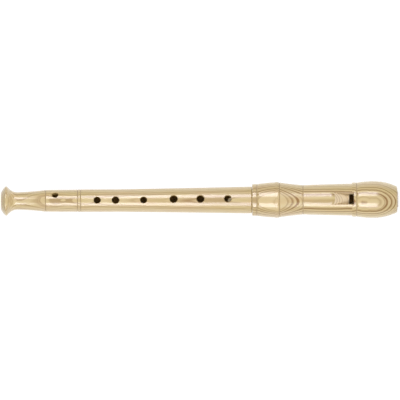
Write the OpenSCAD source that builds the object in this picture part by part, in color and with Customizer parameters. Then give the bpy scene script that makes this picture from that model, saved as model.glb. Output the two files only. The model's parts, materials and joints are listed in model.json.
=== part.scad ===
// Soprano recorder in two turned joints, with a corked tenon and a windway block.
// X runs along the bore from the foot to the beak, and Z points out of the finger holes.
// The origin is on the axis of the bore, at the end of the foot.

/* [Lengths] */
// Length of the body joint from the end of the foot to its shoulder
body_len = 204.3; // [168:0.1:250]
// Length of the head joint from its socket mouth to the tip of the beak
head_len = 119; // [98:0.1:150]
// Length of the tenon
tenon_len = 21.6; // [16:0.1:28]
// Length of the windway and of the block under it
windway_len = 36.2; // [29:0.1:46]

/* [Foot] */
// Diameter of the face at the end of the foot
foot_end_d = 14.2; // [13.5:0.1:18]
// Diameter of the rim round the foot
foot_rim_d = 24; // [20:0.1:30]
// Distance of the rim from the end of the foot
foot_rim_x = 3.8; // [3:0.1:6]
// Width of the rim's rounded edge
foot_rim_w = 1.8; // [1:0.1:2.5]
// Smallest diameter, in the neck above the rim
foot_neck_d = 14.2; // [13.5:0.1:17]
// Distance of the neck from the end of the foot
foot_neck_x = 13.5; // [10:0.1:17]
// Distance of the first ring line from the end of the foot
foot_ring_x = 36.4; // [30:0.1:44]
// Distance of the second ring line from the end of the foot
barrel_ring_x = 62.4; // [54:0.1:70]

/* [Body] */
// Diameter of the body between its two ring lines
barrel_low_d = 17.9; // [15:0.1:21]
// Diameter of the body above the second ring line
barrel_d = 18.45; // [15.5:0.05:22]
// Diameter of the body at its shoulder
shoulder_d = 21.95; // [20:0.05:26]
// Where the body begins to widen to its shoulder
taper_x = 97; // [75:1:115]

/* [Head] */
// Diameter of the bead at the socket mouth
socket_bead_d = 26; // [24:0.1:31]
// Distance of the bead's ring line from the socket mouth
socket_line_x = 3.8; // [3:0.1:6]
// Diameter of the ridge round the socket
ridge_d = 29.3; // [26:0.1:35]
// Distance of the ridge from the socket mouth
ridge_x = 18.3; // [15:0.1:22]
// Width of the ridge
ridge_w = 3.9; // [3:0.1:5]
// Smallest diameter of the head, in the waist above the ridge
waist_d = 24; // [20:0.1:28]
// Distance of the waist's ring line from the socket mouth
waist_ring_x = 41.4; // [36:0.1:50]
// Diameter of the neck where it meets the beak's ring
neck_d = 26.2; // [22:0.1:31]

/* [Beak] */
// Diameter of the ring at the root of the beak
beak_ring_d = 28; // [24:0.1:33]
// Distance of that ring's edge from the tip
beak_ring_x = 37.6; // [35:0.1:46]
// Width of that ring
beak_ring_w = 3.7; // [3:0.1:5]
// Largest diameter of the beak
beak_d = 30; // [28:0.1:36]
// Distance of the largest diameter from the tip
beak_belly_x = 22; // [19:0.1:28]
// Diameter of the beak at the corner of its tip
tip_d = 22.6; // [20:0.1:25]
// Radius of the rounded end of the beak
tip_dome_r = 66; // [50:1:80]
// How far the corner of the tip is rounded, along the beak
tip_round = 1.5; // [1:0.1:2]
// Length of the hollow that is cut away under the beak
beak_cut_len = 26.5; // [22:0.5:32]
// Radius of that hollow
beak_cut_r = 45; // [35:1:60]
// Height of the beak's lower edge above the axis at the tip
beak_edge_z = 0.7; // [-1:0.1:1.5]

/* [Bore] */
// Diameter of the straight stretch at the mouth of the foot
foot_mouth_d = 9.8; // [8.5:0.1:11.5]
// Length of that straight stretch
foot_mouth_len = 12; // [8:0.5:16]
// Smallest diameter of the body's bore
foot_bore_d = 9.2; // [7.5:0.1:9.6]
// Diameter of the body's bore at the end of the tenon
tenon_bore_d = 12.6; // [10.5:0.1:14.5]
// Diameter of the head's bore
head_bore_d = 13.2; // [11:0.1:16]

/* [Socket and cork] */
// Wood left between the bore and the cork
tenon_wall = 1.2; // [1:0.05:1.6]
// Thickness of the cork
cork_t = 1.25; // [1:0.05:1.6]
// Length of the cork
cork_len = 14; // [10:0.5:18]
// Plain end of the tenon beyond the cork
tenon_tip_len = 3.5; // [2.5:0.5:5]
// Gap between the shoulder and the socket mouth
joint_gap = 0.2; // [0.1:0.05:0.5]
// Gap between the end of the tenon and the floor of the socket
tenon_end_gap = 0.5; // [0.3:0.1:1]
// Gap round a piece that turns or slides, on the radius
running_gap = 0.05; // [0.03:0.01:0.08]
// Gap round the bare wood of the tenon, on the radius
tenon_gap = 0.2; // [0.1:0.05:0.3]

/* [Windway] */
// Width of the window and of the windway's exit
window_w = 8.4; // [6.5:0.1:9.6]
// Width of the windway at the beak
windway_in_w = 9.6; // [7:0.1:11]
// Distance from the windway's exit to the edge of the labium
cut_up = 3.8; // [3:0.1:4.6]
// Slope of the ramp that leads down to the labium, in degrees
ramp_angle = 27.7; // [24:0.1:32]
// Lean of the window's side walls, in degrees
window_flare = 10.3; // [4:0.1:14]
// Thickness of the labium at the middle of its edge
labium_t = 0.15; // [0.1:0.05:0.4]
// Radius of the arch of the windway and of the ramp
arch_r = 8; // [7:0.1:14]
// Height of the windway at its exit
windway_exit_h = 0.95; // [0.7:0.05:1.3]
// Height of the windway at the beak
windway_in_h = 1.35; // [1.1:0.05:1.8]

/* [Holes] */
// Diameter of the thumb hole
thumb_d = 5.5; // [4.5:0.1:6.5]
// Thumb hole, distance from the end of the foot as a share of the body's length
thumb_at = 0.918; // [0.9:0.001:0.95]
// Diameter of the first finger hole
hole1_d = 5.7; // [4.5:0.1:6.5]
// First finger hole, distance from the end of the foot as a share of the body's length
hole1_at = 0.904; // [0.88:0.001:0.92]
// Diameter of the second finger hole
hole2_d = 6.1; // [4.5:0.1:6.8]
// Second finger hole, distance from the end of the foot as a share of the body's length
hole2_at = 0.795; // [0.78:0.0005:0.82]
// Diameter of the third finger hole
hole3_d = 6.2; // [4.5:0.1:6.8]
// Third finger hole, distance from the end of the foot as a share of the body's length
hole3_at = 0.6885; // [0.67:0.0005:0.71]
// Diameter of the fourth finger hole
hole4_d = 5.3; // [4.5:0.1:6.5]
// Fourth finger hole, distance from the end of the foot as a share of the body's length
hole4_at = 0.5685; // [0.55:0.0005:0.59]
// Diameter of the fifth finger hole
hole5_d = 5.7; // [4.5:0.1:6.5]
// Fifth finger hole, distance from the end of the foot as a share of the body's length
hole5_at = 0.457; // [0.44:0.001:0.475]
// Diameter of the sixth finger hole
hole6_d = 5.4; // [4.5:0.1:6.5]
// Sixth finger hole, distance from the end of the foot as a share of the body's length
hole6_at = 0.3835; // [0.365:0.0005:0.4]
// Diameter of the little finger's hole
hole7_d = 5.1; // [4.2:0.1:6]
// Little finger's hole, distance from the end of the foot as a share of the body's length
hole7_at = 0.216; // [0.2:0.0005:0.235]
// How far the little finger's hole is turned towards +Y, in degrees
hole7_turn = 29.5; // [20:0.5:35]
// How far the upper three finger holes are turned towards +Y, in degrees
upper_turn = 2; // [-3:0.5:4]
// How far the lower three finger holes are turned towards -Y, in degrees
lower_turn = 2; // [-3:0.5:4]

/* [Ring lines] */
// Depth of the turned ring lines
line_depth = 0.3; // [0.15:0.05:0.5]
// Width of the turned ring lines
line_w = 0.8; // [0.5:0.1:1.1]
// Distance between the two lines round the body
line_pair = 2.5; // [1.2:0.1:4]

/* [Curves] */
// Rise of the face at the end of the foot
foot_face_bow = 0.35; // [0.1:0.05:0.6]
// Rise of the foot's rounded rim
foot_rim_bow = 0.25; // [0.1:0.05:0.4]
// Depth of the cove between the rim and the neck of the foot
foot_cove_bow = 1.05; // [0.5:0.05:1.5]
// Depth of the hollow between the neck of the foot and its ring line
foot_cone_bow = 0.3; // [0.1:0.05:0.6]
// How much thinner the foot's ring line is than the body above it, on the radius
foot_ring_drop = 0.1; // [0.05:0.05:0.2]
// Length of the body's rise above the foot's ring line
foot_ring_rise = 5; // [3:0.5:8]
// Depth of the hollow in the body's taper
taper_bow = 0.05; // [0.02:0.01:0.1]
// Rise of the bead at the socket mouth
socket_bead_bow = 0.05; // [0.02:0.01:0.15]
// Rise of the socket between its bead and the ridge
socket_bow = 0.2; // [0.05:0.05:0.5]
// Rise of the ridge
ridge_bow = 0.25; // [0.1:0.05:0.4]
// Step down from the ridge to the waist, on the radius
ridge_step = 0.25; // [0.1:0.05:0.5]
// Depth of the hollow between the ridge and the waist's ring line
waist_bow = 0.1; // [0.05:0.05:0.5]
// Rise of the head between the waist and the beak's ring
head_bow = 0.1; // [0.05:0.05:0.3]
// Rise of the ring at the root of the beak
beak_ring_bow = 0.1; // [0.05:0.05:0.2]
// Rise of the beak between its ring and its largest diameter
beak_root_bow = 0.25; // [0.1:0.05:0.4]
// Rise of the beak between its largest diameter and its tip
beak_bow = 1.15; // [0.6:0.05:1.6]
// Rise of the rounded corner of the tip
tip_corner_bow = 0.15; // [0.05:0.05:0.25]

/* [Edges] */
// How far the shoulder of the body is eased, along the bore
shoulder_edge = 0.6; // [0.2:0.1:0.8]
// How far the end of the tenon is eased
tenon_edge = 0.6; // [0.2:0.1:0.9]
// How far the socket mouth is eased
socket_edge = 0.5; // [0.2:0.1:0.8]

/* [Hidden] */
$fn = 96;
eps = 0.01;
past = 5;
arc_turn = 6;
tip_corner_share = 0.7;

joint_x = body_len + joint_gap;
tip_x = joint_x + head_len;
tenon_x = body_len + tenon_len;
socket_x = tenon_x + tenon_end_gap;
block_x = tip_x - windway_len;
labium_x = block_x - cut_up;
cork_end_x = tenon_x - tenon_tip_len;
cork_x = cork_end_x - cork_len;
belly_x = tip_x - beak_belly_x;
beak_x = tip_x - beak_ring_x;
beak_line_x = beak_x + beak_ring_w;
ridge_from_x = joint_x + ridge_x;
ridge_line_x = ridge_from_x + ridge_w;
waist_line_x = joint_x + waist_ring_x;
bead_line_x = joint_x + socket_line_x;
half_line = line_w / 2;

groove_r = tenon_bore_d / 2 + tenon_wall;
socket_r = groove_r + running_gap + cork_t + running_gap;
tenon_r = socket_r - tenon_gap;
bore_r = head_bore_d / 2;
bead_r = socket_bead_d / 2;
ridge_r = ridge_d / 2 - ridge_bow;
beak_ring_r = beak_ring_d / 2 - beak_ring_bow;
block_r = bore_r - running_gap;

// The windway's roof and the labium are just above the bore, and its floor is the block's top.
roof_z = bore_r + labium_t;
floor_z = roof_z - windway_exit_h;
windway_rise = atan((windway_in_h - windway_exit_h) / windway_len);
window_floor_z = bore_r / 2;
ramp_len = (beak_d / 2 - roof_z) / tan(ramp_angle);

// Points of an arc from a to b, along X, that rises out of the straight line between them.
function bow(a, b, rise) =
    let (chord = b - a, span = norm(chord), along = chord / span)
    let (out = [-along.y, along.x])
    let (r = (span * span / 4 + rise * rise) / (2 * rise))
    let (centre = (a + b) / 2 + out * (rise - r))
    let (half = asin(span / 2 / abs(r)))
    let (steps = max(3, ceil(2 * half / arc_turn)))
    [for (i = [0:steps])
        let (t = half * (2 * i / steps - 1))
        centre + out * r * cos(t) + along * abs(r) * sin(t)];

// A V-shaped ring line cut into a turned surface of radius r.
function line(x, r) = [[x - half_line, r], [x, r - line_depth], [x + half_line, r]];

// The points in order, without the ones that repeat where two stretches meet.
function joined(points) =
    [for (i = [0:len(points) - 1]) if (i == 0 || norm(points[i] - points[i - 1]) > eps) points[i]];

// Where the rim of the foot ends and the cove under it begins.
foot_cove_x = foot_rim_x + foot_rim_w;
foot_cove_r = foot_rim_d / 2 - foot_rim_w / 2;
foot_line_r = barrel_low_d / 2 - foot_ring_drop;

// Where the rounded end of the beak meets its corner, and how far the end stands out.
tip_corner_r = tip_d / 2 - tip_corner_share * tip_round;
tip_corner_x = tip_x - tip_dome_r + sqrt(pow(tip_dome_r, 2) - pow(tip_corner_r, 2));
tip_side_x = tip_corner_x - tip_round;
tip_chord = norm([tip_corner_r, tip_x - tip_corner_x]);
tip_rise = tip_dome_r - sqrt(pow(tip_dome_r, 2) - pow(tip_chord / 2, 2));

body_outline = joined(concat(
    [[0, 0]],
    bow([0, foot_end_d / 2], [foot_rim_x, foot_rim_d / 2], foot_face_bow),
    bow([foot_rim_x, foot_rim_d / 2], [foot_cove_x, foot_cove_r], foot_rim_bow),
    bow([foot_cove_x, foot_cove_r], [foot_neck_x, foot_neck_d / 2], -foot_cove_bow),
    bow([foot_neck_x, foot_neck_d / 2], [foot_ring_x - half_line, foot_line_r], -foot_cone_bow),
    line(foot_ring_x, foot_line_r),
    [[foot_ring_x + foot_ring_rise, barrel_low_d / 2]],
    line(barrel_ring_x, (barrel_low_d + barrel_d) / 4),
    line(barrel_ring_x + line_pair, barrel_d / 2),
    bow([taper_x, barrel_d / 2], [body_len - shoulder_edge, shoulder_d / 2], -taper_bow),
    [[body_len, shoulder_d / 2 - shoulder_edge]],
    [[body_len, tenon_r], [cork_x, tenon_r], [cork_x, groove_r]],
    [[cork_end_x, groove_r], [cork_end_x, tenon_r]],
    [[tenon_x - tenon_edge, tenon_r], [tenon_x, tenon_r - tenon_edge], [tenon_x, 0]]));

head_outline = joined(concat(
    [[joint_x, 0], [joint_x, bead_r - socket_edge]],
    bow([joint_x + socket_edge, bead_r - socket_bead_bow], [bead_line_x - half_line, bead_r],
        socket_bead_bow),
    line(bead_line_x, bead_r),
    bow([bead_line_x + half_line, bead_r], [ridge_from_x, ridge_r], socket_bow),
    bow([ridge_from_x, ridge_r], [ridge_line_x - half_line, ridge_r], ridge_bow),
    line(ridge_line_x, ridge_r - ridge_step),
    bow([ridge_line_x + half_line, ridge_r - ridge_step], [waist_line_x - half_line, waist_d / 2],
        -waist_bow),
    line(waist_line_x, waist_d / 2),
    bow([waist_line_x + half_line, waist_d / 2], [beak_x, neck_d / 2], head_bow),
    bow([beak_x, beak_ring_r], [beak_line_x - half_line, beak_ring_r], beak_ring_bow),
    line(beak_line_x, beak_ring_r),
    bow([beak_line_x + half_line, beak_ring_r], [belly_x, beak_d / 2], beak_root_bow),
    bow([belly_x, beak_d / 2], [tip_side_x, tip_d / 2], beak_bow),
    bow([tip_side_x, tip_d / 2], [tip_corner_x, tip_corner_r], tip_corner_bow),
    bow([tip_corner_x, tip_corner_r], [tip_x, 0], tip_rise)));

// Turns an outline, drawn with X along the bore and Y as the radius, about the bore.
module turned(outline) {
    rotate([0, 90, 0]) rotate_extrude() polygon([for (p = outline) [p.y, p.x]]);
}

// A straight or tapered rod on the axis of the bore.
module rod(from, to, r, r_to) {
    translate([from, 0, 0]) rotate([0, 90, 0]) cylinder(h = to - from, r1 = r, r2 = r_to);
}

// A hole from the bore out through the wall, turned about the bore.
module hole(share, d, turn) {
    translate([body_len * share, 0, 0]) rotate([turn, 0, 0]) cylinder(h = shoulder_d, d = d);
}

// The hollow under the beak, whose surface passes through both ends of the cut.
module beak_cut() {
    tip = [tip_x, beak_edge_z];
    root = [tip_x - beak_cut_len, -beak_d / 2];
    chord = tip - root;
    away = [chord.y, -chord.x] / norm(chord);
    centre = (tip + root) / 2 + away * sqrt(pow(beak_cut_r, 2) - pow(norm(chord) / 2, 2));
    translate([centre.x, 0, centre.y])
        rotate([90, 0, 0])
            cylinder(h = beak_d + 2 * past, r = beak_cut_r, center = true, $fn = 360);
}

// The windway's walls seen from above, wider at the beak than at the window.
module windway_sides() {
    taper = (windway_in_w - window_w) / 2 / windway_len;
    translate([block_x, 0, 0]) linear_extrude(beak_d) polygon([
        [-eps, -window_w / 2], [windway_len + past, -window_w / 2 - taper * (windway_len + past)],
        [windway_len + past, window_w / 2 + taper * (windway_len + past)], [-eps, window_w / 2]]);
}

// A long arched surface whose top passes through height z at x, and climbs by slope degrees.
module arch(x, z, slope) {
    translate([x, 0, z]) rotate([0, 90 - slope, 0]) translate([arch_r, 0, -3 * windway_len])
        cylinder(h = 6 * windway_len, r = arch_r);
}

// The space between the window's leaning side walls, from one x to another.
module window_sides(from, to) {
    top_z = beak_d / 2 + past;
    side = window_w / 2 + (top_z - roof_z) * tan(window_flare);
    low = window_w / 2 - (roof_z - window_floor_z) * tan(window_flare);
    translate([from, 0, 0]) rotate([90, 0, 90]) linear_extrude(to - from) polygon([
        [-low, window_floor_z], [low, window_floor_z], [side, top_z], [-side, top_z]]);
}

// Middle and foot in one piece, with the tenon.
module body_joint() {
    color("burlywood") difference() {
        turned(body_outline);
        rod(-past, foot_mouth_len, foot_mouth_d / 2, foot_mouth_d / 2);
        rod(foot_mouth_len - eps, tenon_x + eps, foot_bore_d / 2, tenon_bore_d / 2);
        hole(thumb_at, thumb_d, 180);
        hole(hole1_at, hole1_d, -upper_turn);
        hole(hole2_at, hole2_d, -upper_turn);
        hole(hole3_at, hole3_d, -upper_turn);
        hole(hole4_at, hole4_d, lower_turn);
        hole(hole5_at, hole5_d, lower_turn);
        hole(hole6_at, hole6_d, lower_turn);
        hole(hole7_at, hole7_d, -hole7_turn);
    }
}

// Cork lapping in the groove of the tenon.
module tenon_cork() {
    color("peru") difference() {
        rod(cork_x + running_gap, cork_end_x - running_gap, socket_r - running_gap,
            socket_r - running_gap);
        rod(cork_x, cork_end_x, groove_r + running_gap, groove_r + running_gap);
    }
}

// Head with its socket, window, labium, windway roof and beak.
module head_joint() {
    color("wheat") difference() {
        turned(head_outline);
        rod(joint_x - eps, socket_x, socket_r, socket_r);
        rod(joint_x, tip_x + past, bore_r, bore_r);
        beak_cut();
        window_sides(labium_x, block_x);
        difference() {
            window_sides(labium_x - ramp_len - past, labium_x + eps);
            arch(labium_x, roof_z, -ramp_angle);
        }
        intersection() {
            windway_sides();
            arch(block_x, roof_z, windway_rise);
        }
    }
}

// Block that closes the top of the bore and forms the floor of the windway.
module windway_block() {
    color("sienna") difference() {
        intersection() {
            turned(head_outline);
            rod(block_x, tip_x + past, block_r, block_r);
        }
        beak_cut();
        difference() {
            windway_sides();
            arch(block_x, floor_z, 0);
        }
    }
}

body_joint();
tenon_cork();
head_joint();
windway_block();
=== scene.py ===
import json
import math

import bpy
from mathutils import Euler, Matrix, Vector


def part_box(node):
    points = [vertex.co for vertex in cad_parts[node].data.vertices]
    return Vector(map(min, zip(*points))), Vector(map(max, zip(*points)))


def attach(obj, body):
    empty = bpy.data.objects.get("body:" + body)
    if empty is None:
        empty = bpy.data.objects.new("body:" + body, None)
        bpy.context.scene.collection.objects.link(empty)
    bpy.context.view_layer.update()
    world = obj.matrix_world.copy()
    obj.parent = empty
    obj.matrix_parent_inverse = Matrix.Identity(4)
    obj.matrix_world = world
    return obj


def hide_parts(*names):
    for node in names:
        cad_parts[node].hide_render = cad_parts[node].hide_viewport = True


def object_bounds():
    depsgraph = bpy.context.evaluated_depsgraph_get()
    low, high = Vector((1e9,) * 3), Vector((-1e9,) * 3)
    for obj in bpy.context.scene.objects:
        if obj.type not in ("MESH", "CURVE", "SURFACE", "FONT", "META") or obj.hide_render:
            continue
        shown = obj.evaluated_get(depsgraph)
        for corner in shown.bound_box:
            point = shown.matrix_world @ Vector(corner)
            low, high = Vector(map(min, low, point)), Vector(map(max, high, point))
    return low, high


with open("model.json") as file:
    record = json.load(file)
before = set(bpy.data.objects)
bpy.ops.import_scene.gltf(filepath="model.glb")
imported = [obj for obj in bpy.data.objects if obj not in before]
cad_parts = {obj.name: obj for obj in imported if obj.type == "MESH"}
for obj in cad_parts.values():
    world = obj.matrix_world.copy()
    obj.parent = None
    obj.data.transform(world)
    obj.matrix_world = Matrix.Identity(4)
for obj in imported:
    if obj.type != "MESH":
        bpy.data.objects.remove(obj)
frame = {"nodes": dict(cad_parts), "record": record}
cad_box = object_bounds()

bl_info = {
    "name": "Soprano Recorder",
    "version": (1, 0, 0),
    "blender": (4, 5, 0),
    "location": "View3D > Sidebar > Recorder",
    "description": "Turns, bores and finishes a wooden soprano recorder on its frame",
    "category": "Add Mesh",
}

MM = 0.001
SAME = 0.01 * MM  # two places closer than this are one
FINE = 0.2 * MM  # how far a cutter reaches past what it cuts
BROKEN_EDGE = 0.3 * MM  # how far the sharp rim of a bore is broken
EASED = 1.2 * MM  # what lies deeper than this under the lacquer is bare
WINDWAY_DEPTH = 1.5 * MM  # the windway reaches no further than this out of the head's bore
WINDOW_START = 260 * MM  # the window's cuts are past this place along the bore


# ---------------------------------------------------------------------------
# Sizes read from the frame


def side_rings():
    """The places (x, radius) of the turned edges of each node, read at its two sides."""
    places = {}
    for node, shape in frame["nodes"].items():
        seen = set()
        for vertex in shape.data.vertices:
            radius = math.hypot(vertex.co.y, vertex.co.z)
            if abs(vertex.co.z) < 0.35 * radius:
                seen.add((round(vertex.co.x / SAME), round(radius / SAME)))
        places[node] = sorted((x * SAME, radius * SAME) for x, radius in seen)
    return places


RINGS = side_rings()
FOOT_MOUTH = next(m for m in frame["record"]["mounts"] if m["name"] == "foot_bore")["dims"]


def least_radius(node, low=-1.0, high=1.0):
    """The smallest turned radius of a node between two places along the bore."""
    return min(radius for x, radius in RINGS[node] if low <= x <= high)


def outline(node, inside):
    """The turned outside of a node from end to end, without points that change nothing."""
    by_x = {}
    for x, radius in RINGS[node]:
        if radius > inside(x):
            by_x.setdefault(x, []).append(radius)
    points = []
    for x in sorted(by_x):
        last = points[-1][1] if points else max(by_x[x])
        for radius in sorted(by_x[x], key=lambda r: abs(r - last)):
            if not points or math.dist(points[-1], (x, radius)) > 2 * SAME:
                points.append((x, radius))
    kept = points[:1]
    for i in range(1, len(points) - 1):
        (ax, ar), (bx, br), (cx, cr) = kept[-1], points[i], points[i + 1]
        off_line = abs((cx - ax) * (br - ar) - (bx - ax) * (cr - ar)) / math.dist((ax, ar), (cx, cr))
        if off_line > 0.3 * SAME:
            kept.append(points[i])
    return kept + points[-1:]


def radius_at(points, x):
    """The radius of an outline at a place along the bore."""
    for (ax, ar), (bx, br) in zip(points, points[1:]):
        if ax <= x <= bx and bx > ax:
            return ar + (br - ar) * (x - ax) / (bx - ax)
    raise ValueError(f"the outline doesn't reach {x}")


def ring_lines(points):
    """The stretches of an outline where a thin line is scored: (from x, to x)."""
    return [
        (ax, cx) for (ax, ar), (bx, br), (cx, cr) in zip(points, points[1:], points[2:])
        if cx - ax < MM and min(ar, cr) - br > 0.1 * MM]


TENON_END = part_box("body_joint")[1].x
SOCKET_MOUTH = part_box("head_joint")[0].x
SOCKET_R = least_radius("head_joint", high=SOCKET_MOUTH + MM)
SOCKET_FLOOR = max(x for x, radius in RINGS["head_joint"] if abs(radius - SOCKET_R) < 2 * SAME)
HEAD_BORE_R = least_radius("head_joint")
BLOCK_R = max(radius for _, radius in RINGS["windway_block"])
BLOCK_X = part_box("windway_block")[0].x
TIP_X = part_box("windway_block")[1].x
MOUTH_R = FOOT_MOUTH["r_mm"] * MM
MOUTH_LEN = FOOT_MOUTH["length_mm"] * MM
FOOT_BORE_R = least_radius("body_joint", high=2 * MOUTH_LEN)
TENON_BORE_R = least_radius("body_joint", low=TENON_END - MM)
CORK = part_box("tenon_cork")

BODY_OUTLINE = outline("body_joint", lambda x: TENON_BORE_R + FINE)
HEAD_OUTLINE = outline(
    "head_joint", lambda x: (SOCKET_R if x < SOCKET_FLOOR + FINE else HEAD_BORE_R) + 2 * SAME)
BODY_LEN = next(x for (x, r), (nx, nr) in zip(BODY_OUTLINE, BODY_OUTLINE[1:])
                if x > 0.5 * TENON_END and nx == x and nr < r)

BODY_LINES = ring_lines(BODY_OUTLINE)
HEAD_LINES = ring_lines(HEAD_OUTLINE)

# The strong growth rings of each joint: how far from the bore's axis, in mm, and how dark.
# Where the rings climb, this is their distance before the climb.
BODY_RINGS = ((10.5, 0.5), (9.86, 0.3), (8.95, 0.5), (8.1, 0.4), (7.0, 0.55), (5.2, 0.6), (3.0, 0.4))
HEAD_RINGS = (
    (14.6, 0.2), (12.97, 0.5), (12.27, 0.7), (11.5, 0.95), (10.87, 0.22), (9.84, 0.95),
    (8.75, 0.95), (7.48, 0.9), (6.4, 0.35), (5.0, 0.6), (2.8, 0.4))

FIBRES = 2600.0  # how many fibres to a metre
WANDER = 1.2 * MM  # how far the growth rings stray

# Where the colour of a strong ring rises and where it falls, in mm from its place.
RING_RISE = (-0.48, -0.19)
RING_FALL = (-0.02, 0.08)

# The pith that the rings run round: its place to the side at the foot and its lean, and its depth.
BODY_PITH = ((3 * MM, 0.0), 26 * MM)
HEAD_PITH = ((0.0, 0.025), 30 * MM)

# Where the rings climb outwards: from x, to x, and how far.
BODY_DRIFT = ((150 * MM, 200 * MM, 0.2 * MM),)
HEAD_DRIFT = (
    (228 * MM, 246 * MM, 1.2 * MM), (246 * MM, 286 * MM, 1.15 * MM), (286 * MM, 300 * MM, 1.4 * MM))

# Each hole: its place as a share of the body's length, its diameter and its turn about the bore.
HOLES = {
    "first": (0.904, 5.7 * MM, -2.0),
    "second": (0.795, 6.1 * MM, -2.0),
    "third": (0.6885, 6.2 * MM, -2.0),
    "fourth": (0.5685, 5.3 * MM, 2.0),
    "fifth": (0.457, 5.7 * MM, 2.0),
    "sixth": (0.3835, 5.4 * MM, 2.0),
    "little_finger": (0.216, 5.1 * MM, -29.5),
    "thumb": (0.918, 5.5 * MM, 180.0),
}


# ---------------------------------------------------------------------------
# Settings that a user would change


class RecorderSizes(bpy.types.PropertyGroup):
    """Sizes of the cuts and edges, beyond what the frame gives."""

    steps_round: bpy.props.IntProperty(
        name="Steps round", description="Steps round a turned surface", default=160, min=48)
    hole_edge: bpy.props.FloatProperty(
        name="Hole edge", description="How far the edge of a finger hole is eased",
        default=0.35 * MM, unit="LENGTH", precision=5)
    window_width: bpy.props.FloatProperty(
        name="Window width", description="Width of the window and of the windway's exit",
        default=8.4 * MM, unit="LENGTH", precision=5)
    windway_in_width: bpy.props.FloatProperty(
        name="Windway width at the beak", description="Width of the windway where air goes in",
        default=9.6 * MM, unit="LENGTH", precision=5)
    cut_up: bpy.props.FloatProperty(
        name="Cut-up", description="Distance from the windway's exit to the edge of the labium",
        default=3.8 * MM, unit="LENGTH", precision=5)
    ramp_angle: bpy.props.FloatProperty(
        name="Ramp angle", description="Slope of the ramp down to the labium",
        default=math.radians(27.7), unit="ROTATION")
    window_flare: bpy.props.FloatProperty(
        name="Window flare", description="Lean of the side walls of the window",
        default=math.radians(10.3), unit="ROTATION")
    labium_thickness: bpy.props.FloatProperty(
        name="Labium", description="Thickness of the labium at the middle of its edge",
        default=0.15 * MM, unit="LENGTH", precision=5)
    arch_radius: bpy.props.FloatProperty(
        name="Arch", description="Radius of the arch of the windway and of the ramp",
        default=8 * MM, unit="LENGTH", precision=5)
    windway_exit_height: bpy.props.FloatProperty(
        name="Windway exit", description="Height of the windway at the window",
        default=0.95 * MM, unit="LENGTH", precision=5)
    windway_in_height: bpy.props.FloatProperty(
        name="Windway entry", description="Height of the windway at the beak",
        default=1.35 * MM, unit="LENGTH", precision=5)
    beak_cut_length: bpy.props.FloatProperty(
        name="Beak cut", description="Length of the hollow that is cut away under the beak",
        default=26.5 * MM, unit="LENGTH", precision=5)
    beak_cut_radius: bpy.props.FloatProperty(
        name="Beak cut radius", description="Radius of the hollow under the beak",
        default=45 * MM, unit="LENGTH", precision=5)
    beak_edge: bpy.props.FloatProperty(
        name="Beak edge", description="Height of the beak's lower edge above the axis at the tip",
        default=0.7 * MM, unit="LENGTH", precision=5)


class RecorderFinish(bpy.types.PropertyGroup):
    """Colours and grain of the woods and the cork."""

    early_wood: bpy.props.FloatVectorProperty(
        name="Early wood", description="Colour of the pale wood between the ring lines",
        subtype="COLOR", size=3, default=(0.70, 0.575, 0.295), min=0, max=1)
    late_wood: bpy.props.FloatVectorProperty(
        name="Late wood", description="Colour of the ring lines",
        subtype="COLOR", size=3, default=(0.34, 0.20, 0.065), min=0, max=1)
    ring_spacing: bpy.props.FloatProperty(
        name="Ring spacing", description="Distance from one growth ring to the next",
        default=0.6 * MM, unit="LENGTH", precision=5)
    lacquer_roughness: bpy.props.FloatProperty(
        name="Lacquer roughness", description="Roughness of the lacquer",
        default=0.14, min=0, max=1)
    cedar: bpy.props.FloatVectorProperty(
        name="Cedar", description="Colour of the windway block",
        subtype="COLOR", size=3, default=(0.36, 0.15, 0.065), min=0, max=1)
    cork: bpy.props.FloatVectorProperty(
        name="Cork", description="Colour of the cork on the tenon",
        subtype="COLOR", size=3, default=(0.48, 0.31, 0.16), min=0, max=1)


# ---------------------------------------------------------------------------
# Shader helpers


class Signal:
    """A socket of a node tree that takes part in sums."""

    def __init__(self, tree, socket):
        self.tree = tree
        self.socket = socket

    def _with(self, operation, other=None, swapped=False):
        node = self.tree.nodes.new("ShaderNodeMath")
        node.operation = operation
        first, second = (other, self) if swapped else (self, other)
        for slot, term in zip(node.inputs, (first, second)):
            if isinstance(term, Signal):
                self.tree.links.new(term.socket, slot)
            elif term is not None:
                slot.default_value = term
        return Signal(self.tree, node.outputs[0])

    def __add__(self, other):
        return self._with("ADD", other)

    def __radd__(self, other):
        return self._with("ADD", other, True)

    def __sub__(self, other):
        return self._with("SUBTRACT", other)

    def __rsub__(self, other):
        return self._with("SUBTRACT", other, True)

    def __mul__(self, other):
        return self._with("MULTIPLY", other)

    def __rmul__(self, other):
        return self._with("MULTIPLY", other, True)

    def __truediv__(self, other):
        return self._with("DIVIDE", other)

    def __pow__(self, other):
        return self._with("POWER", other)

    def floor(self):
        return self._with("FLOOR")

    def fraction(self):
        return self._with("FRACT")

    def root(self):
        return self._with("SQRT")


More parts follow.
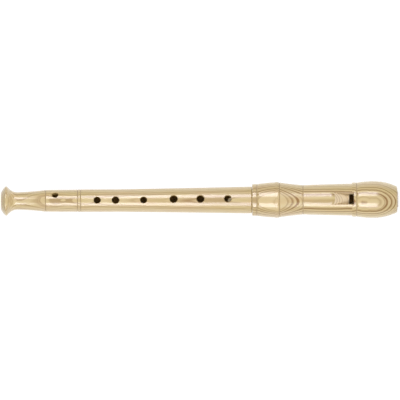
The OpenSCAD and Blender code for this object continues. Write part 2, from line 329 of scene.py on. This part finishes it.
class Finish:
    """A material under construction, with one method that adds any node."""

    def __init__(self, name):
        self.material = bpy.data.materials.new(name)
        self.material.use_nodes = True
        self.tree = self.material.node_tree
        self.tree.nodes.clear()
        self.place = self.add("ShaderNodeTexCoord")["Object"]
        parts = self.add("ShaderNodeSeparateXYZ", inputs={"Vector": self.place})
        self.x, self.y, self.z = parts["X"], parts["Y"], parts["Z"]

    def add(self, kind, settings=None, inputs=None, stops=None):
        """Adds a node, sets it, fills its inputs and returns its outputs by name."""
        node = self.tree.nodes.new(kind)
        for name, value in (settings or {}).items():
            setattr(node, name, value)
        if stops:
            ramp = node.color_ramp
            while len(ramp.elements) < len(stops):
                ramp.elements.new(0.5)
            for element, (position, colour) in zip(ramp.elements, stops):
                element.position = position
                element.color = (*colour, 1.0)
        for name, value in (inputs or {}).items():
            slot = node.inputs[name]
            if isinstance(value, Signal):
                self.tree.links.new(value.socket, slot)
            elif slot.type == "RGBA" and len(value) == 3:
                slot.default_value = (*value, 1.0)
            else:
                slot.default_value = value
        return {output.name: Signal(self.tree, output) for output in node.outputs if output.enabled}

    def vector(self, x, y, z):
        return self.add("ShaderNodeCombineXYZ", inputs={"X": x, "Y": y, "Z": z})["Vector"]

    def noise(self, place, scale, detail=2.0, roughness=0.5):
        """Smooth noise about nought, from about -0.5 to 0.5."""
        node = self.add("ShaderNodeTexNoise", inputs={
            "Vector": place, "Scale": scale, "Detail": detail, "Roughness": roughness})
        return node["Fac"] - 0.5

    def chance(self, number):
        """An even random number from 0 to 1 for each whole number."""
        return self.add("ShaderNodeTexWhiteNoise", {"noise_dimensions": "1D"}, {"W": number})["Value"]

    def smooth(self, value, low, high, to_low=0.0, to_high=1.0):
        """Maps a range smoothly on to another."""
        node = self.add("ShaderNodeMapRange", {"interpolation_type": "SMOOTHSTEP"}, {
            "Value": value, "From Min": low, "From Max": high, "To Min": to_low, "To Max": to_high})
        return node["Result"]

    def ramp(self, value, low, high, to_low, to_high):
        """Maps a range evenly on to another and stops at its ends."""
        node = self.add("ShaderNodeMapRange", inputs={
            "Value": value, "From Min": low, "From Max": high, "To Min": to_low, "To Max": to_high})
        return node["Result"]

    def blend(self, share, first, second, how="MIX"):
        """Mixes two colours by a share."""
        settings = {"data_type": "RGBA", "blend_type": how}
        return self.add("ShaderNodeMix", settings, {0: share, 6: first, 7: second})["Result"]

    def bump(self, height, distance, strength=1.0):
        return self.add("ShaderNodeBump", inputs={
            "Height": height, "Distance": distance, "Strength": strength})["Normal"]

    def surface(self, **inputs):
        """Ends the material in one Principled surface. Names are the sockets' with _ for spaces."""
        named = {name.replace("_", " "): value for name, value in inputs.items()}
        shader = self.add("ShaderNodeBsdfPrincipled", inputs=named)["BSDF"]
        self.add("ShaderNodeOutputMaterial", inputs={"Surface": shader})
        return self.material


def grown_rings(finish, pith, spacing, wander, chart=(), drift=()):
    """Growth rings round a pith beside the bore, as a darkness: many faint ones at a spacing, and
    the strong ones of a chart of (distance from the bore's axis, away from the pith, strength).
    Each stretch of the drift has the rings climb out by its third number between its two places."""
    (start_y, lean_y), depth = pith
    slow = finish.vector(finish.x * 9.0, finish.y * 30.0, finish.z * 30.0)
    other = finish.vector(finish.x * 11.0 + 7.3, finish.y * 24.0, finish.z * 24.0)
    pith_y = finish.x * lean_y + start_y
    aside = (pith_y * pith_y + depth * depth).root()
    wavy = finish.noise(finish.vector(finish.x * 70.0, finish.y * 110.0, finish.z * 110.0), 1.0, 1.0)
    near_foot = finish.smooth(finish.x, 60 * MM, 100 * MM, wander * 1.5, 0.0)
    from_y = finish.y - pith_y + finish.noise(slow, 1.0, 1.0) * (wander * 1.6)
    from_z = finish.z + depth + finish.noise(other, 1.0, 2.0) * wander
    reach = (from_y * from_y + from_z * from_z).root() - aside + wavy * near_foot
    for start, end, rise in drift:
        reach = reach - finish.ramp(finish.x, start, end, 0.0, rise)
    ring = reach / spacing
    through = ring.fraction()
    faint = finish.smooth(through, 0.3, 0.85) * finish.smooth(through, 0.88, 1.0, 1.0, 0.0)
    dark = faint * finish.chance((ring + 100.0).floor()) * 0.6
    for place, strength in chart:
        rise = [(place + edge) * MM for edge in RING_RISE]
        fall = [(place + edge) * MM for edge in RING_FALL]
        line = finish.smooth(reach, *rise, 0.0, strength)
        dark = dark + line * finish.smooth(reach, *fall, 1.0, 0.0)
    return dark


def wood_fibres(finish, fineness):
    """Fine streaks that run with the grain."""
    long_way = finish.vector(finish.x * 0.035, finish.y, finish.z)
    return finish.noise(long_way, fineness, 3.0, 0.6)


def lacquered_wood(look, name, pith, chart, drift):
    """Pale straw wood with growth rings under a satin lacquer."""
    finish = Finish(name)
    rings = grown_rings(finish, pith, look.ring_spacing, WANDER, chart, drift)
    fibres = wood_fibres(finish, FIBRES)
    cloud = finish.noise(finish.vector(finish.x * 20.0, finish.y * 90.0, finish.z * 90.0), 1.0, 2.0)
    blush = finish.noise(finish.vector(finish.x * 45.0 + 3.1, finish.y * 200.0, finish.z * 200.0), 1.0)
    dark = rings + fibres * 0.35
    base = finish.blend(finish.smooth(dark, 0.0, 1.0), tuple(look.early_wood), tuple(look.late_wood))
    warm = finish.blend(finish.smooth(cloud, -0.2, 0.2), (0.98, 0.96, 0.86), (1.0, 0.98, 1.0))
    pink = finish.blend(finish.smooth(blush, -0.05, 0.25), warm, (1.0, 0.945, 0.93), "MULTIPLY")
    colour = finish.blend(1.0, base, pink, "MULTIPLY")
    return finish.surface(
        Base_Color=colour, Roughness=0.42, Coat_Weight=1.0, Coat_Roughness=look.lacquer_roughness,
        Coat_IOR=1.5, Normal=finish.bump(fibres, 0.02 * MM, 0.4))


def bare_bore(look):
    """The same wood inside the bore and the holes, bare and oiled."""
    finish = Finish("oiled_bore_wood")
    fibres = wood_fibres(finish, FIBRES)
    rings = grown_rings(finish, ((4 * MM, 0.0), 30 * MM), look.ring_spacing, WANDER)
    base = finish.blend(finish.smooth(rings + fibres * 0.5, 0.0, 1.0), (0.56, 0.41, 0.16), (0.42, 0.3, 0.1))
    return finish.surface(Base_Color=base, Roughness=0.6, Normal=finish.bump(fibres, 0.03 * MM, 0.6))


def cut_wood_painted_light(look):
    """The ramp and walls of the window, cut after lacquering and left bare; their pale colour is partly the
    bare wood and partly painted light, standing in for the bright reflection on the ramp.
    """
    finish = Finish("cut_wood_with_painted_light")
    fibres = wood_fibres(finish, FIBRES)
    rings = grown_rings(finish, HEAD_PITH, look.ring_spacing, WANDER, HEAD_RINGS, HEAD_DRIFT)
    dark = rings * 0.5 + fibres * 0.25
    # Painted light: this pale colour also stands in for the reflection that brightens the ramp.
    base = finish.blend(finish.smooth(dark, 0.0, 1.0), (0.78, 0.65, 0.42), tuple(look.late_wood))
    return finish.surface(Base_Color=base, Roughness=0.5, Normal=finish.bump(fibres, 0.02 * MM, 0.5))


def scored_line(look):
    """The bottoms of the turned ring lines, coloured darker than the wood."""
    finish = Finish("scored_line_wood")
    fibres = wood_fibres(finish, FIBRES)
    base = finish.blend(finish.smooth(fibres, -0.3, 0.3), (0.54, 0.41, 0.21), (0.42, 0.31, 0.15))
    return finish.surface(Base_Color=base, Roughness=0.5, Coat_Weight=0.5, Coat_Roughness=0.3)


def bare_cedar(look):
    """Red cedar with straight close grain, unfinished."""
    finish = Finish("bare_red_cedar")
    fibres = wood_fibres(finish, 3200.0)
    dark = grown_rings(finish, ((40 * MM, 0.0), 25 * MM), 0.7 * MM, 0.5 * MM) * 1.6 + fibres * 0.5
    pale = tuple(look.cedar)
    deep = tuple(0.42 * channel for channel in pale)
    colour = finish.blend(finish.smooth(dark, -0.1, 1.0), pale, deep)
    return finish.surface(Base_Color=colour, Roughness=0.68, Normal=finish.bump(fibres, 0.04 * MM, 0.6))


def bare_cork(look):
    """Sheet cork with pale cells and dark pores."""
    finish = Finish("sheet_cork")
    cells = finish.add("ShaderNodeTexVoronoi", inputs={"Vector": finish.place, "Scale": 1500.0})["Distance"]
    pores = finish.smooth(finish.noise(finish.place, 700.0, 3.0), 0.1, 0.22)
    mottle = finish.noise(finish.place, 260.0, 2.0)
    pale = finish.blend(finish.smooth(mottle, -0.25, 0.25), tuple(look.cork), (0.52, 0.33, 0.18))
    colour = finish.blend(pores, pale, (0.12, 0.06, 0.03))
    height = cells * 0.5 - pores
    return finish.surface(Base_Color=colour, Roughness=0.85, Normal=finish.bump(height, 0.05 * MM, 0.8))


# ---------------------------------------------------------------------------
# Modelling helpers


def clear_selection():
    """Leaves nothing selected and no object in edit mode."""
    if bpy.context.object and bpy.context.object.mode != "OBJECT":
        bpy.ops.object.mode_set(mode="OBJECT")
    bpy.ops.object.select_all(action="DESELECT")


def pick(piece):
    """Makes one object the only selected and active one."""
    clear_selection()
    piece.select_set(True)
    bpy.context.view_layer.objects.active = piece


def pick_parts(piece, faces=None, vertices=None):
    """Selects in edit mode the faces or vertices for which a test of their data holds."""
    if piece.mode != "OBJECT":
        bpy.ops.object.mode_set(mode="OBJECT")
    for group in (piece.data.vertices, piece.data.edges, piece.data.polygons):
        for part in group:
            part.select = False
    bpy.ops.object.mode_set(mode="EDIT")
    bpy.ops.mesh.select_mode(type="FACE" if faces else "VERT")
    bpy.ops.object.mode_set(mode="OBJECT")
    for part in (piece.data.polygons if faces else piece.data.vertices):
        part.select = (faces or vertices)(part)
    bpy.ops.object.mode_set(mode="EDIT")


def set_in_place(piece):
    """Moves the object's place, turn and scale into its mesh."""
    pick(piece)
    bpy.ops.object.transform_apply(location=True, rotation=True, scale=True)


def turned_on_lathe(name, loop, steps):
    """A closed turned solid: a closed loop of points (x, radius) spun once about the bore."""
    clear_selection()
    bpy.ops.mesh.primitive_circle_add(vertices=3, radius=MM, location=(0, 0, 0))
    piece = bpy.context.object
    piece.name = piece.data.name = name
    bpy.ops.object.mode_set(mode="EDIT")
    bpy.ops.mesh.select_mode(type="VERT")
    bpy.ops.mesh.select_all(action="SELECT")
    bpy.ops.mesh.merge(type="CENTER")
    bpy.ops.transform.translate(value=(loop[0][0], 0, loop[0][1]))
    for (ax, ar), (bx, br) in zip(loop, loop[1:]):
        bpy.ops.mesh.extrude_region_move(TRANSFORM_OT_translate={"value": (bx - ax, 0, br - ar)})
    last = len(loop) - 1
    pick_parts(piece, vertices=lambda v: v.index in (0, last))
    bpy.ops.mesh.edge_face_add()
    bpy.ops.mesh.select_all(action="SELECT")
    bpy.ops.mesh.spin(steps=steps, angle=2 * math.pi, center=(0, 0, 0), axis=(1, 0, 0))
    bpy.ops.mesh.select_all(action="SELECT")
    bpy.ops.mesh.remove_doubles(threshold=SAME / 10)
    bpy.ops.mesh.normals_make_consistent(inside=False)
    bpy.ops.object.mode_set(mode="OBJECT")
    return piece


def combined(piece, tool, operation):
    """Cuts a piece by a tool, or keeps what both share, and removes the tool."""
    pick(piece)
    cut = piece.modifiers.new("Cut", "BOOLEAN")
    cut.object = tool
    cut.operation = operation
    cut.solver = "EXACT"
    bpy.ops.object.modifier_apply(modifier=cut.name)
    bpy.data.objects.remove(tool)
    return piece


def joined(tools):
    """Makes one object of several that don't touch."""
    clear_selection()
    for tool in tools:
        tool.select_set(True)
    bpy.context.view_layer.objects.active = tools[0]
    bpy.ops.object.join()
    return tools[0]


def hole_drill(x, radius, turn, body_r, edge):
    """A drill for one hole, whose shank eases the edge evenly round the turned surface."""
    dip = body_r - math.sqrt(body_r ** 2 - radius ** 2)
    start, end = body_r - dip - edge, body_r + FINE
    clear_selection()
    bpy.ops.mesh.primitive_cylinder_add(vertices=72, radius=radius, depth=start,
                                        location=(0, 0, start / 2))
    drill = bpy.context.object
    set_in_place(drill)
    pick_parts(drill, faces=lambda f: f.normal.z > 0.9)
    bpy.ops.mesh.extrude_region_move(TRANSFORM_OT_translate={"value": (0, 0, end - start)})
    wide_y = 1 + (end - start) / radius
    wide_x = 1 + (end - start) * edge / (dip + edge) / radius
    bpy.ops.transform.resize(value=(wide_x, wide_y, 1), center_override=(0, 0, end))
    bpy.ops.object.mode_set(mode="OBJECT")
    drill.rotation_euler.x = math.radians(turn)
    drill.location.x = x
    set_in_place(drill)
    return drill


def window_block(sizes, start, end):
    """A block as wide as the window, with its leaning side walls, from one x to another."""
    floor_z = HEAD_BORE_R / 2
    top_z = max(radius for _, radius in HEAD_OUTLINE) + 5 * MM
    edge_z = HEAD_BORE_R + sizes.labium_thickness
    lean = math.tan(sizes.window_flare)
    low = sizes.window_width + 2 * (floor_z - edge_z) * lean
    high = sizes.window_width + 2 * (top_z - edge_z) * lean
    clear_selection()
    bpy.ops.mesh.primitive_cube_add(size=1, location=((start + end) / 2, 0, (floor_z + top_z) / 2),
                                    scale=(end - start, low, top_z - floor_z))
    block = bpy.context.object
    set_in_place(block)
    pick_parts(block, faces=lambda f: f.normal.z > 0.9)
    bpy.ops.transform.resize(value=(1, high / low, 1), center_override=(0, 0, top_z))
    bpy.ops.object.mode_set(mode="OBJECT")
    return block


def arch(sizes, x, z, slope):
    """A long arched bar whose top passes through a height at x and climbs by a slope."""
    clear_selection()
    bpy.ops.mesh.primitive_cylinder_add(
        vertices=240, radius=sizes.arch_radius, depth=0.24, location=(0, 0, -sizes.arch_radius),
        rotation=(0, math.pi / 2, 0))
    bar = bpy.context.object
    set_in_place(bar)
    bar.rotation_euler.y = -slope
    bar.location = (x, 0, z)
    set_in_place(bar)
    return bar


def windway_block_space(sizes):
    """The space between the side walls of the windway, wider at the beak."""
    length = TIP_X + 5 * MM - BLOCK_X
    out = (sizes.windway_in_width - sizes.window_width) / (TIP_X - BLOCK_X) * length
    top_z = max(radius for _, radius in HEAD_OUTLINE)
    clear_selection()
    bpy.ops.mesh.primitive_cube_add(
        size=1, location=(BLOCK_X + length / 2, 0, top_z / 2), scale=(length, sizes.window_width, top_z))
    space = bpy.context.object
    set_in_place(space)
    pick_parts(space, faces=lambda f: f.normal.x > 0.9)
    bpy.ops.transform.resize(value=(1, 1 + out / sizes.window_width, 1),
                             center_override=(BLOCK_X + length, 0, top_z / 2))
    bpy.ops.object.mode_set(mode="OBJECT")
    return space


def beak_hollow(sizes):
    """The round bar that hollows out the underside of the beak."""
    widest = max(radius for _, radius in HEAD_OUTLINE)
    tip = Vector((TIP_X, sizes.beak_edge))
    root = Vector((TIP_X - sizes.beak_cut_length, -widest))
    chord = tip - root
    away = Vector((chord.y, -chord.x)) / chord.length
    centre = (tip + root) / 2 + away * math.sqrt(sizes.beak_cut_radius ** 2 - (chord.length / 2) ** 2)
    clear_selection()
    bpy.ops.mesh.primitive_cylinder_add(
        vertices=720, radius=sizes.beak_cut_radius, depth=2 * widest + 10 * MM,
        location=(centre.x, 0, centre.y), rotation=(math.pi / 2, 0, 0))
    bar = bpy.context.object
    set_in_place(bar)
    return bar


def finished(piece, body, node, materials, choose=None):
    """Gives a piece its materials, its shading and its body, and hides the node that it stands for."""
    if not piece.data.polygons:
        raise ValueError(f"{piece.name} has come out empty")
    for material in materials:
        piece.data.materials.append(material)
    if choose:
        for face in piece.data.polygons:
            face.material_index = choose(face)
    pick(piece)
    bpy.ops.object.shade_smooth_by_angle(angle=math.radians(30))
    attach(piece, body)
    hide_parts(node)


def in_lines(lines, x):
    """Whether a place along the bore is in one of the scored ring lines."""
    return any(start + SAME < x < end - SAME for start, end in lines)


def facing_in(face):
    """Whether a face looks towards the axis of the bore."""
    return face.normal.y * face.center.y + face.normal.z * face.center.z < 0


# ---------------------------------------------------------------------------
# Operators


class RECORDER_OT_body(bpy.types.Operator):
    """Turn and bore the body joint with its foot and tenon"""

    bl_idname = "recorder.body"
    bl_label = "Body joint"

    def execute(self, context):
        sizes, look = context.scene.recorder_sizes, context.scene.recorder_finish
        inner = [
            (TENON_END, TENON_BORE_R), (MOUTH_LEN, FOOT_BORE_R), (MOUTH_LEN, MOUTH_R),
            (BROKEN_EDGE, MOUTH_R), (0.0, MOUTH_R + BROKEN_EDGE)]
        piece = turned_on_lathe("body_joint_turned", BODY_OUTLINE + inner, sizes.steps_round)
        drills = [
            hole_drill(BODY_LEN * share, d / 2, turn, radius_at(BODY_OUTLINE, BODY_LEN * share),
                       sizes.hole_edge)
            for share, d, turn in HOLES.values()]
        combined(piece, joined(drills), "DIFFERENCE")
        finished(piece, "body", "body_joint",
                 [lacquered_wood(look, "body_wood", BODY_PITH, BODY_RINGS, BODY_DRIFT),
                  bare_bore(look), scored_line(look)], self.material)
        return {"FINISHED"}

    @staticmethod
    def material(face):
        """Bare wood in the bore and the holes, dark in the ring lines, lacquer elsewhere."""
        x, radius = face.center.x, math.hypot(face.center.y, face.center.z)
        outside = radius_at(BODY_OUTLINE, min(max(x, 0.0), TENON_END))
        if facing_in(face) or radius < outside - EASED:
            return 1
        return 2 if in_lines(BODY_LINES, x) else 0


class RECORDER_OT_cork(bpy.types.Operator):
    """Lap the tenon with cork"""

    bl_idname = "recorder.cork"
    bl_label = "Tenon cork"

    def execute(self, context):
        sizes, look = context.scene.recorder_sizes, context.scene.recorder_finish
        low, high = CORK
        inner = min(radius for _, radius in RINGS["tenon_cork"])
        ease = 0.35 * MM
        loop = [(low.x, inner), (low.x, high.z - ease), (low.x + ease / 3, high.z - ease / 3),
                (low.x + ease, high.z), (high.x - ease, high.z),
                (high.x - ease / 3, high.z - ease / 3), (high.x, high.z - ease), (high.x, inner)]
        piece = turned_on_lathe("tenon_cork_lapping", loop, sizes.steps_round)
        finished(piece, "cork", "tenon_cork", [bare_cork(look)])
        return {"FINISHED"}


class RECORDER_OT_head(bpy.types.Operator):
    """Turn the head joint and cut its window, windway and beak"""

    bl_idname = "recorder.head"
    bl_label = "Head joint"

    def execute(self, context):
        sizes, look = context.scene.recorder_sizes, context.scene.recorder_finish
        edge_z = HEAD_BORE_R + sizes.labium_thickness
        labium_x = BLOCK_X - sizes.cut_up
        tip = HEAD_OUTLINE[-1][0]
        inner = [(tip, HEAD_BORE_R), (SOCKET_FLOOR, HEAD_BORE_R), (SOCKET_FLOOR, SOCKET_R),
                 (SOCKET_MOUTH + BROKEN_EDGE, SOCKET_R), (SOCKET_MOUTH, SOCKET_R + BROKEN_EDGE)]
        outside = HEAD_OUTLINE[:-1] if HEAD_OUTLINE[-1][1] < HEAD_BORE_R + 5 * SAME else HEAD_OUTLINE
        piece = turned_on_lathe("head_joint_turned", outside + inner, sizes.steps_round)
        combined(piece, beak_hollow(sizes), "DIFFERENCE")
        combined(piece, window_block(sizes, labium_x, BLOCK_X), "DIFFERENCE")
        widest = max(radius for _, radius in HEAD_OUTLINE)
        ramp_len = (widest - edge_z) / math.tan(sizes.ramp_angle)
        ramp = window_block(sizes, labium_x - ramp_len - 5 * MM, labium_x + 0.02 * MM)
        combined(ramp, arch(sizes, labium_x, edge_z, -sizes.ramp_angle), "DIFFERENCE")
        combined(piece, ramp, "DIFFERENCE")
        climb = math.atan(
            (sizes.windway_in_height - sizes.windway_exit_height) / (TIP_X - BLOCK_X))
        windway = windway_block_space(sizes)
        combined(windway, arch(sizes, BLOCK_X, edge_z, climb), "INTERSECT")
        combined(piece, windway, "DIFFERENCE")
        finished(piece, "head", "head_joint",
                 [lacquered_wood(look, "head_wood", HEAD_PITH, HEAD_RINGS, HEAD_DRIFT),
                  bare_bore(look), scored_line(look), cut_wood_painted_light(look)], self.material)
        return {"FINISHED"}

    @staticmethod
    def material(face):
        """Bare wood in the bore, socket and windway, dark in the ring lines, lacquer elsewhere."""
        x, radius = face.center.x, math.hypot(face.center.y, face.center.z)
        windway = x > BLOCK_X - FINE and radius < HEAD_BORE_R + WINDWAY_DEPTH
        bore = radius < (SOCKET_R if x < SOCKET_FLOOR else HEAD_BORE_R) + FINE
        if facing_in(face) and (windway or bore):
            return 1
        # The ramp and window walls take the pale cut wood, whose paleness is partly painted light.
        cut = face.center.z > HEAD_BORE_R and WINDOW_START < x < BLOCK_X + FINE
        if cut and radius < radius_at(HEAD_OUTLINE, x) - FINE:
            return 3
        return 2 if in_lines(HEAD_LINES, x) and not facing_in(face) else 0


class RECORDER_OT_block(bpy.types.Operator):
    """Shape the cedar block that carries the floor of the windway"""

    bl_idname = "recorder.block"
    bl_label = "Windway block"

    def execute(self, context):
        sizes, look = context.scene.recorder_sizes, context.scene.recorder_finish
        floor_z = HEAD_BORE_R + sizes.labium_thickness - sizes.windway_exit_height
        dome = [(x, radius) for x, radius in outline("windway_block", lambda x: 0.0)
                if x > BLOCK_X + FINE and radius < BLOCK_R - SAME]
        dome_start = min(x for x, _ in dome)
        loop = ([(BLOCK_X, 0.2 * MM), (BLOCK_X, BLOCK_R), (dome_start, BLOCK_R)]
                + dome[1:] + [(TIP_X, 0.2 * MM)])
        piece = turned_on_lathe("windway_block_shaped", loop, sizes.steps_round)
        combined(piece, beak_hollow(sizes), "DIFFERENCE")
        channel = windway_block_space(sizes)
        combined(channel, arch(sizes, BLOCK_X, floor_z, 0.0), "DIFFERENCE")
        combined(piece, channel, "DIFFERENCE")
        finished(piece, "block", "windway_block", [bare_cedar(look)])
        return {"FINISHED"}


class RECORDER_OT_stage(bpy.types.Operator):
    """Lay the floor, hang the lamps and set the camera"""

    bl_idname = "recorder.stage"
    bl_label = "Floor, lamps and camera"

    def execute(self, context):
        low, high = cad_box
        middle = Vector(((low[0] + high[0]) / 2, 0.0, 0.0))
        clear_selection()
        bpy.ops.mesh.primitive_plane_add(size=6, location=(middle.x, 0, low[2] - 0.3 * MM))
        floor = context.object
        floor.name = "floor"
        set_in_place(floor)
        floor.data.materials.append(self.paper(low, high))
        self.lamps(middle)
        self.camera(context, middle)
        context.scene.view_settings.view_transform = "Standard"
        return {"FINISHED"}

    @staticmethod
    def paper(low, high):
        """White paper, lit through from below, with a painted shadow: the glow is dimmed to dark brown in
        the strip that the recorder rests over.
        """
        painted_shadow_y, painted_shadow_x = (3 * MM, 7 * MM), (140 * MM, 155 * MM)
        paper = Finish("white_paper_with_painted_shadow")
        aside = paper.smooth(paper.y * paper.y, painted_shadow_y[0] ** 2, painted_shadow_y[1] ** 2)
        past = paper.smooth((paper.x - (low[0] + high[0]) / 2) ** 2.0, painted_shadow_x[0] ** 2, painted_shadow_x[1] ** 2)
        # Painted shadow: a dark brown glow under the recorder, where its contact shadow would fall.
        glow_and_painted_shadow = paper.blend(aside + past, (0.2, 0.15, 0.08), (1.0, 1.0, 1.0))
        return paper.surface(
            Base_Color=(0.22, 0.22, 0.22), Roughness=1.0, Emission_Color=glow_and_painted_shadow, Emission_Strength=0.9)

    @staticmethod
    def lamps(middle):
        """Two soft boxes, above and below the camera, and an even white room."""
        length, power = 0.57, 5.9
        for name, lean, width in (("upper", 32, 0.46), ("lower", -41, 0.5)):
            aim = Vector((0, math.tan(math.radians(lean)), 1)).normalized()
            bpy.ops.object.light_add(type="AREA", location=middle + aim,
                                     rotation=aim.to_track_quat("Z", "Y").to_euler())
            lamp = bpy.context.object
            lamp.name = f"soft_box_{name}"
            lamp.data.shape = "RECTANGLE"
            lamp.data.size, lamp.data.size_y = length, width
            lamp.data.energy = power
            lamp.data.color = (1.0, 0.97, 1.04)
        world = bpy.data.worlds.new("white_room")
        bpy.context.scene.world = world
        world.use_nodes = True
        background = world.node_tree.nodes["Background"]
        background.inputs["Color"].default_value = (1.0, 1.0, 1.0, 1.0)
        background.inputs["Strength"].default_value = 0.2

    @staticmethod
    def camera(context, middle):
        """A long lens far above the finger holes, leaning a little to one side."""
        lean, roll = math.radians(4.5), math.radians(-0.23)
        lens, film = 700.0, 36.0
        across = 325.85 * MM
        away = across * lens / film
        turn = Euler((lean, 0, roll))
        back = turn.to_matrix() @ Vector((0, 0, away))
        aside = Vector((0.35, 0.16, 0)) * MM
        bpy.ops.object.camera_add(rotation=turn, location=middle + aside + back)
        camera = bpy.context.object
        camera.data.lens = lens
        camera.data.sensor_width = film
        camera.data.clip_end = 20.0
        context.scene.camera = camera


class RECORDER_PT_panel(bpy.types.Panel):
    """Builds the recorder piece by piece"""

    bl_idname = "RECORDER_PT_panel"
    bl_label = "Soprano Recorder"
    bl_space_type = "VIEW_3D"
    bl_region_type = "UI"
    bl_category = "Recorder"

    def draw(self, context):
        for group in (context.scene.recorder_sizes, context.scene.recorder_finish):
            column = self.layout.column()
            for name in group.bl_rna.properties.keys():
                if name not in {"rna_type", "name"}:
                    column.prop(group, name)
        for operator in OPERATORS:
            self.layout.operator(operator.bl_idname)


OPERATORS = (RECORDER_OT_body, RECORDER_OT_cork, RECORDER_OT_head, RECORDER_OT_block, RECORDER_OT_stage)
CLASSES = (RecorderSizes, RecorderFinish, *OPERATORS, RECORDER_PT_panel)


def register():
    for cls in CLASSES:
        bpy.utils.register_class(cls)
    bpy.types.Scene.recorder_sizes = bpy.props.PointerProperty(type=RecorderSizes)
    bpy.types.Scene.recorder_finish = bpy.props.PointerProperty(type=RecorderFinish)


def unregister():
    del bpy.types.Scene.recorder_finish
    del bpy.types.Scene.recorder_sizes
    for cls in reversed(CLASSES):
        bpy.utils.unregister_class(cls)


def main():
    register()
    bpy.ops.recorder.body()
    bpy.ops.recorder.cork()
    bpy.ops.recorder.head()
    bpy.ops.recorder.block()
    bpy.ops.recorder.stage()


if __name__ == "__main__":
    main()
